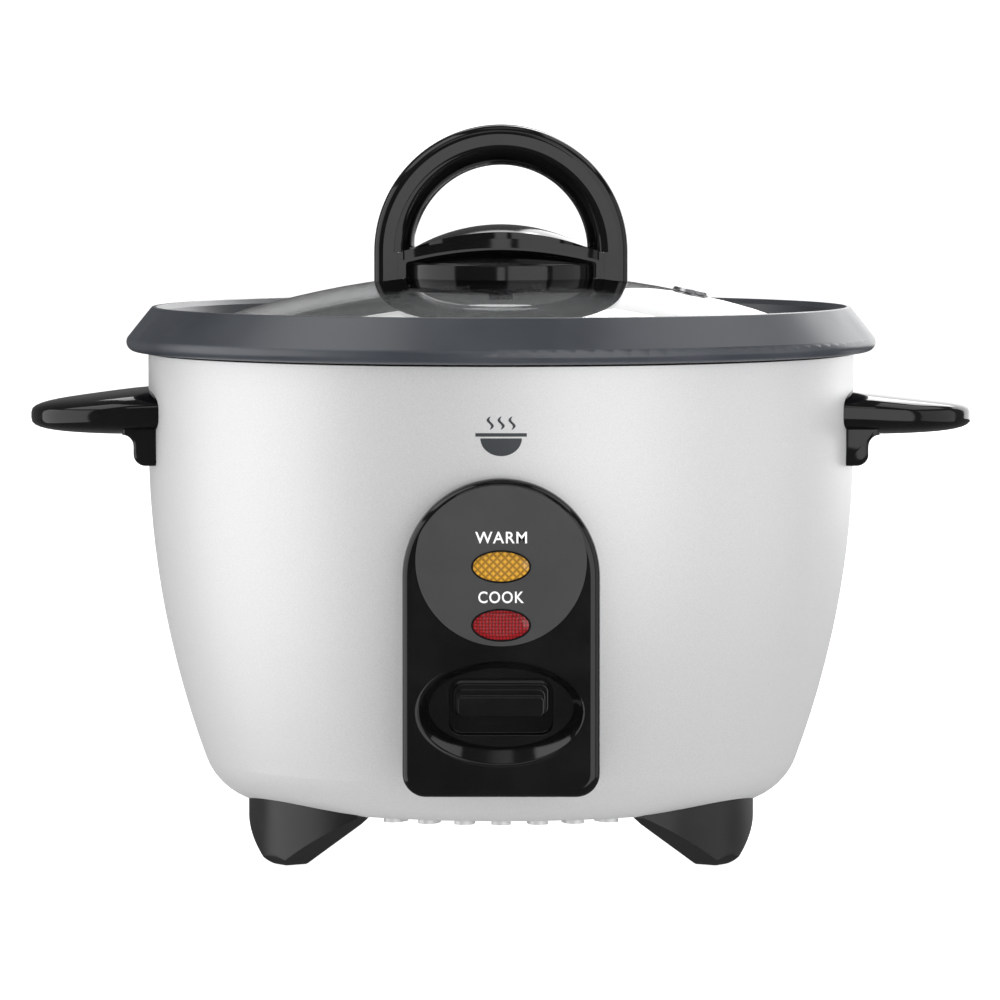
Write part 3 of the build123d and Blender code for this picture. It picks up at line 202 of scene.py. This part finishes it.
SPUN = (0.06, 0.06, 14)      # grain drawn out round the liner, as a spun sheet has it
LOOKS = {
    "shell_paint": pearl_paint(),
    "pot_coating": pot_coating(),
    "lid_glass": smoked_glass(),
    "black_gloss": plastic("black_gloss", (0.0035, 0.0035, 0.0037), 0.07, 0.04),
    # indicator_face: the plate's mid grey is a painted reflection, standing in for a softbox mirrored in
    # glossy black plastic
    "indicator_face": plastic("indicator_face", (0.040, 0.040, 0.041), 0.34, 0.08, tone=0.06),
    "foot_plastic": plastic("foot_plastic", (0.008, 0.008, 0.0082), 0.3, 0.08, relief=6e-6),
    # In both lenses the dark end is painted shade along the cell edges and the light end a painted
    # highlight at the cell middles.
    "amber_lens": lens_material("amber_lens", (0.055, 0.018, 0.002), (0.66, 0.34, 0.03),
                                cell=0.0015, turn=45, metric="CHEBYCHEV"),
    "red_lens": lens_material("red_lens", (0.08, 0.0015, 0.002), (0.32, 0.006, 0.010),
                              cell=0.0009, turn=0, metric="EUCLIDEAN"),
    "liner_steel": metal("liner_steel", (0.62, 0.62, 0.63), 0.32, 0.15, SPUN),
    "cast_aluminium": metal("cast_aluminium", (0.66, 0.66, 0.65), 0.35, 0.2, relief=9e-6),
    "steel": metal("steel", (0.58, 0.58, 0.6), 0.22, 0.15),
    "spring_steel": metal("spring_steel", (0.6, 0.6, 0.62), 0.14, 0.1),
    "ferrite": plastic("ferrite", (0.05, 0.05, 0.055), 0.5, 0.2, relief=1e-5),
    "inner_plastic": plastic("inner_plastic", (0.03, 0.03, 0.032), 0.42, 0.15, relief=8e-6),
    "ceramic": plastic("ceramic", (0.72, 0.70, 0.64), 0.5, 0.2, tone=0.06, relief=1e-5),
    "lamp_glass": plastic("lamp_glass", (0.8, 0.55, 0.4), 0.05, 0.03, tone=0.1, Transmission_Weight=0.6),
    "pin_brass": metal("pin_brass", (0.78, 0.7, 0.5), 0.2, 0.12),
    "silicone": plastic("silicone", (0.42, 0.42, 0.42), 0.55, 0.15, tone=0.08),
    "wire_red": plastic("wire_red", (0.40, 0.03, 0.025), 0.4, 0.15, tone=0.1),
    "wire_blue": plastic("wire_blue", (0.03, 0.08, 0.32), 0.4, 0.15, tone=0.1),
    "wire_green": plastic("wire_green", (0.16, 0.33, 0.04), 0.4, 0.15, tone=0.1),
}

slot_of = {part["node"]: part["material_slot"] for part in frame["record"]["subparts"]}
for node_name, node in nodes.items():
    node.material_slots[0].material = LOOKS[slot_of[node_name]]


def add_piece(name, mesh, body, slot, looks=None):
    """Put a finished mesh into the scene, riding on a body, with a slot's material."""
    piece = bpy.data.objects.new(name, mesh)
    bpy.context.scene.collection.objects.link(piece)
    mesh.materials.clear()
    mesh.materials.append(looks or LOOKS[slot])
    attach(piece, body)
    return piece


# ---------------------------------------------------------------- mesh helpers
def lathe(profile, steps):
    """A mesh turned about the vertical axis from (radius, height) points."""
    form = bmesh.new()
    rings = []
    turns = [2 * math.pi * i / steps for i in range(steps)]
    for radius, height in profile:
        rings.append([form.verts.new((radius * math.cos(t), radius * math.sin(t), height)) for t in turns])
    for inner, outer in zip(rings, rings[1:]):
        for i in range(steps):
            j = (i + 1) % steps
            form.faces.new((inner[i], outer[i], outer[j], inner[j]))
    for face in form.faces:
        face.smooth = True
    return form


def finished(form, name):
    """The bmesh as mesh data."""
    mesh = bpy.data.meshes.new(name)
    form.to_mesh(mesh)
    form.free()
    return mesh


# ---------------------------------------------------------------- side grips, in mm
GRIP_ROOT_R = 101.0          # the grips stand on the shell's wall at this radius
GRIP_TIP = 135.0
GRIP_OVAL_X = 98.0           # middle of the half oval that a grip is from above
GRIP_HALF_WIDTH = 29.0
ROOT_DEPTH, END_DEPTH = 12.8, 7.2        # top to underside, at the wall and before the tip's round
ROOT_MIDDLE, END_MIDDLE = 126.6, 125.1   # height halfway between top and underside
DEPTH_POWER, MIDDLE_POWER = 1.4, 1.5     # how late the depth tapers, how soon the middle drops
TIP_ROUND = 0.47             # share of the reach that the tip's round takes
GRIP_SECTIONS = 12
LAST_TURN = math.radians(88)             # sections crowd towards the tip and stop just short of it
GRIP_FULLNESS = 0.62         # below 1 squares off the grip's section
GRIP_POINTS = 56
LEG_OUT = 104.4              # the leg's outer face
LEG_LOW, LEG_TOP = 111.65, 120.5
LEG_ROOF = 123.0             # the leg goes on into the grip up to here
LEG_HALF = 25.5              # half the leg's width
LEG_ROUND = 3.4              # round of its lower outer edge
LEG_NECK = 3.2               # concave round between the grip's underside and the leg
# Slices across the leg, and how far each one's outline is drawn in to round the ends.
LEG_SLICES = [(-LEG_HALF, 1.0), (-LEG_HALF + 0.4, 0.35), (-LEG_HALF + 1.4, 0)]
LEG_SLICES += [(across, 0) for across in (-18, -9, 0, 9, 18)]
LEG_SLICES += [(-across, inset) for across, inset in reversed(LEG_SLICES[:3])]


def on_wall(across):
    """Distance from the axis plane of the shell's wall, mm."""
    return math.sqrt(GRIP_ROOT_R ** 2 - across ** 2)


def skin(form, rings):
    """Faces between neighbouring closed rings of vertices. Gives back the two that close the ends."""
    for near, far in zip(rings, rings[1:]):
        for i in range(len(near)):
            j = (i + 1) % len(near)
            form.faces.new((near[i], near[j], far[j], far[i]))
    return [form.faces.new(ring) for ring in (rings[0], rings[-1])]


def squared(value):
    """A sine or cosine moved outwards, which squares off an oval."""
    return math.copysign(abs(value) ** GRIP_FULLNESS, value)


def quarter(radius, steps):
    """A quarter round's (sideways, downward) steps, from flat to upright."""
    turns = [math.pi / 2 * k / steps for k in range(steps + 1)]
    return [(radius * (1 - math.sin(t)), radius * (1 - math.cos(t))) for t in turns]


def grip_section(share):
    """Distance out, half width, depth and middle height of the grip at a share of its reach."""
    out = GRIP_ROOT_R + (GRIP_TIP - GRIP_ROOT_R) * share
    along = (out - GRIP_OVAL_X) / (GRIP_TIP - GRIP_OVAL_X)
    half = GRIP_HALF_WIDTH * math.sqrt(1 - along ** 2)
    into_round = max(0, 1 - (1 - share) / TIP_ROUND)
    depth = ROOT_DEPTH - (ROOT_DEPTH - END_DEPTH) * share ** DEPTH_POWER
    depth *= (1 - into_round ** 4) ** 0.25
    middle = END_MIDDLE + (ROOT_MIDDLE - END_MIDDLE) * (1 - share) ** MIDDLE_POWER
    return out, half, depth, middle


def grip_rings(form, side):
    """The grip's cross-sections from the wall to the tip. The first is bent back onto the wall."""
    rings = []
    for station in range(GRIP_SECTIONS + 1):
        out, half, depth, middle = grip_section(math.sin(LAST_TURN * station / GRIP_SECTIONS))
        ring = []
        for i in range(GRIP_POINTS):
            turn = 2 * math.pi * i / GRIP_POINTS
            y = half * squared(math.cos(turn))
            z = middle + depth / 2 * squared(math.sin(turn))
            x = on_wall(y) if station == 0 else out
            ring.append(form.verts.new((side * x * MM, y * MM, z * MM)))
        rings.append(ring)
    return rings


def leg_rings(form, side):
    """The leg's outlines, one for each slice across it."""
    rings = []
    for y, inset in LEG_SLICES:
        out, low = LEG_OUT - inset, LEG_LOW + inset
        line = [(on_wall(y), LEG_ROOF), (out + LEG_NECK, LEG_ROOF)]
        line += [(out + across, LEG_TOP - drop) for across, drop in quarter(LEG_NECK, 6)]
        line += [(out - drop, low + across) for across, drop in quarter(LEG_ROUND, 8)]
        line.append((on_wall(y), low))
        rings.append([form.verts.new((side * x * MM, y * MM, z * MM)) for x, z in line])
    return rings


def make_grip(node_name, side):
    """One side grip with its leg, standing on the shell's wall."""
    form = bmesh.new()
    caps = []
    for rings in (grip_rings(form, side), leg_rings(form, side)):
        caps += skin(form, rings)
    bmesh.ops.recalc_face_normals(form, faces=form.faces)
    for face in form.faces:
        face.smooth = face not in caps
    mesh = finished(form, node_name + "_skin")
    mesh.set_sharp_from_angle(angle=math.radians(50))
    piece = add_piece(node_name + "_skin", mesh, "cooker_body", "black_gloss")
    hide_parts(node_name)


make_grip("side_handle_right", 1)
make_grip("side_handle_left", -1)

# ---------------------------------------------------------------- printed words and sign
PLATE_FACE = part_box("indicator_plate")[0].y
WHITE_INK = plastic("white_ink", (0.86, 0.86, 0.86), 0.5, 0.1, tone=0.04)
GREY_INK = plastic("grey_ink", (0.035, 0.04, 0.045), 0.45, 0.1, tone=0.1)
INK_T = 0.04 * MM            # thickness of the print


def add_word(name, text, centre_z, width, height):
    """A printed word on the plate, width by height metres."""
    font = bpy.data.curves.new(name, "FONT")
    font.body = text
    font.align_x = "CENTER"
    font.align_y = "CENTER"
    font.space_character = 1.12
    font.offset = 0.012
    font.extrude = 0.01
    probe = bpy.data.objects.new(name, font)
    bpy.context.scene.collection.objects.link(probe)
    bpy.context.view_layer.update()
    mesh = bpy.data.meshes.new_from_object(probe.evaluated_get(bpy.context.evaluated_depsgraph_get()))
    bpy.data.objects.remove(probe)
    low = Vector([min(v.co[i] for v in mesh.vertices) for i in range(3)])
    high = Vector([max(v.co[i] for v in mesh.vertices) for i in range(3)])
    for vert in mesh.vertices:
        part = [(vert.co[i] - low[i]) / (high[i] - low[i]) - 0.5 for i in range(3)]
        vert.co = (part[0] * width, PLATE_FACE - (part[2] + 0.5) * INK_T, centre_z + part[1] * height)
    mesh.name = name
    add_piece(name, mesh, "cooker_body", "indicator_face", WHITE_INK)


# The sign is about ten units wide; heights are from its middle.
BOWL_HALF, BOWL_DEPTH, BOWL_TOP = 4.2, 3.6, 0.1
RIM_HALF, RIM_LOW, RIM_HIGH = 5.2, 0.45, 1.15
WISPS = (-2.2, 0, 2.2)
WISP_SWAY, WISP_LOW, WISP_HEIGHT, WISP_HALF = 0.45, 1.9, 2.6, 0.34


def bowl_strips(steps):
    """Upright strips under the bowl's mouth, which end on its half oval."""
    turns = [math.pi + math.pi * i / steps for i in range(steps + 1)]
    edge = [(BOWL_HALF * math.cos(t), BOWL_TOP + BOWL_DEPTH * math.sin(t)) for t in turns]
    return [[(a[0], BOWL_TOP), (b[0], BOWL_TOP), b, a] for a, b in zip(edge, edge[1:])]


def rim_strips(steps):
    """The flat bar over the bowl, cut small enough to bend round the shell."""
    cuts = [-RIM_HALF + 2 * RIM_HALF * i / steps for i in range(steps + 1)]
    return [[(a, RIM_LOW), (b, RIM_LOW), (b, RIM_HIGH), (a, RIM_HIGH)] for a, b in zip(cuts, cuts[1:])]


def wisp_strips(middle, steps):
    """One waving wisp of steam, thickest halfway up."""
    sides = []
    for i in range(steps + 1):
        share = i / steps
        x = middle + WISP_SWAY * math.sin(2 * math.pi * share)
        z = WISP_LOW + WISP_HEIGHT * share
        half = WISP_HALF * math.sin(math.pi * (0.12 + 0.76 * share))
        sides.append(((x - half, z), (x + half, z)))
    return [[a[0], a[1], b[1], b[0]] for a, b in zip(sides, sides[1:])]


def add_sign(name, centre_z, width):
    """A printed bowl with wisps of steam, laid on the body's round front."""
    shell_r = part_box("body_shell")[1].x
    out = shell_r + INK_T
    unit = width / 10
    strips = bowl_strips(24) + rim_strips(20)
    for middle in WISPS:
        strips += wisp_strips(middle, 12)
    form = bmesh.new()
    for strip in strips:
        corners = []
        for x, z in strip:
            turn = x * unit / shell_r
            place = (out * math.sin(turn), -out * math.cos(turn), centre_z + z * unit)
            corners.append(form.verts.new(place))
        form.faces.new(corners)
    bmesh.ops.remove_doubles(form, verts=form.verts, dist=1e-6)
    add_piece(name, finished(form, name), "cooker_body", "foot_plastic", GREY_INK)


def middle_height(node_name):
    """Height of the middle of a CAD node."""
    low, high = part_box(node_name)
    return (low.z + high.z) / 2


WORD_H = 3.2 * MM
WARM_WIDTH, WARM_OVER_LENS = 14.1 * MM, 7.95 * MM
COOK_WIDTH, COOK_OVER_LENS = 12.4 * MM, 7.65 * MM
SIGN_WIDTH, SIGN_Z = 13.5 * MM, 123.4 * MM
add_word("word_warm", "WARM", middle_height("warm_lens") + WARM_OVER_LENS, WARM_WIDTH, WORD_H)
add_sign("bowl_sign", SIGN_Z, SIGN_WIDTH)
add_word("word_cook", "COOK", middle_height("cook_lens") + COOK_OVER_LENS, COOK_WIDTH, WORD_H)

# ---------------------------------------------------------------- floor, lights, camera
WALL_R, WALL_TOP = 20, 7     # a round white wall, far behind any camera
COVE_R = 3                   # the floor curves up into the wall
COVE_TURNS = [math.radians(angle) for angle in range(0, 91, 10)]
COVE = [(WALL_R - COVE_R + COVE_R * math.sin(t), COVE_R - COVE_R * math.cos(t)) for t in COVE_TURNS]
STUDIO_PROFILE = [(0.00001, 0), (3, 0)] + COVE + [(WALL_R, WALL_TOP)]

studio_floor = bpy.data.objects.new("floor", finished(lathe(STUDIO_PROFILE, 72), "floor"))
bpy.context.scene.collection.objects.link(studio_floor)
floor_look = new_material("floor_white", Base_Color=(0.62, 0.62, 0.62, 1), Roughness=0.9,
                          Emission_Color=(1, 1, 1, 1), Emission_Strength=0.95, Specular_IOR_Level=0.0)
studio_floor.data.materials.append(floor_look)
studio_floor.visible_glossy = False
studio_floor.visible_shadow = False


def add_softbox(name, azimuth, distance, span, low, high, radiance, aim):
    """An upright softbox that looks at height aim above the object's foot.

    Azimuth runs from the front towards the right and span is the angle that the softbox fills, in
    degrees. Low and high are its edges, in metres. Radiance 1 is as bright as a white world.
    """
    turn = math.radians(azimuth)
    place = Vector((distance * math.sin(turn), -distance * math.cos(turn), (low + high) / 2))
    light = bpy.data.lights.new(name, "AREA")
    light.shape = "RECTANGLE"
    light.size = 2 * distance * math.tan(math.radians(span / 2))
    light.size_y = high - low
    light.energy = radiance * math.pi * light.size * light.size_y
    lamp = bpy.data.objects.new(name, light)
    bpy.context.scene.collection.objects.link(lamp)
    lamp.location = place
    lamp.rotation_euler = (Vector((0, 0, aim)) - place).to_track_quat("-Z", "Y").to_euler()
    lamp.visible_camera = False


# azimuth, distance, span, low edge, high edge, radiance, aim
SOFTBOXES = {
    "softbox_front_right": (32, 2.3, 48, -0.8, 1.5, 1.3, 0.35),
    "softbox_right": (85, 2.3, 44, -0.6, 1.3, 0.6, 0.35),
    "softbox_left": (-86, 1.9, 60, -0.9, 1.3, 1.25, 0.2),
    "softbox_right_back": (152, 2.4, 48, -0.1, 1.7, 2.2, 0.8),
    "softbox_top_back": (178, 1.7, 38, 1.2, 2.1, 1.9, 0.15),
    "softbox_top_right": (160, 1.8, 32, 1.2, 2.1, 5.0, 0.15),
    "softbox_left_high": (-80, 1.6, 64, 1.7, 3.2, 1.6, 0.2),
    "softbox_right_high": (95, 1.6, 70, 1.7, 3.2, 1.2, 0.2),
    "softbox_overhead": (20, 0.3, 120, 2.4, 3.4, 0.6, 0.1),
    "softbox_front_top": (0, 1.6, 60, 1.3, 1.8, 1.0, 0.1),
    "strip_front": (0, 2.6, 9, 0.005, 0.3, 1.5, 0.15),
}
for lamp_name, values in SOFTBOXES.items():
    add_softbox(lamp_name, *values)

world = bpy.data.worlds.new("studio")
bpy.context.scene.world = world
world.use_nodes = True
world.node_tree.nodes["Background"].inputs["Color"].default_value = (1, 1, 1, 1)
world.node_tree.nodes["Background"].inputs["Strength"].default_value = 0.12
bpy.context.scene.view_settings.view_transform = "Standard"

CAMERA_DISTANCE, CAMERA_HEIGHT, AIM_HEIGHT = 1.954, 0.2205, 0.1005
CAMERA_SIDE = -0.0003
camera_data = bpy.data.cameras.new("camera")
camera_data.sensor_width = 36
camera_data.lens = 245.0
camera = bpy.data.objects.new("camera", camera_data)
bpy.context.scene.collection.objects.link(camera)
camera.location = (CAMERA_SIDE, -CAMERA_DISTANCE, CAMERA_HEIGHT)
look = Vector((CAMERA_SIDE, 0, AIM_HEIGHT)) - camera.location
camera.rotation_euler = look.to_track_quat("-Z", "Y").to_euler()
camera_data.clip_start, camera_data.clip_end = 0.05, 100
bpy.context.scene.camera = camera
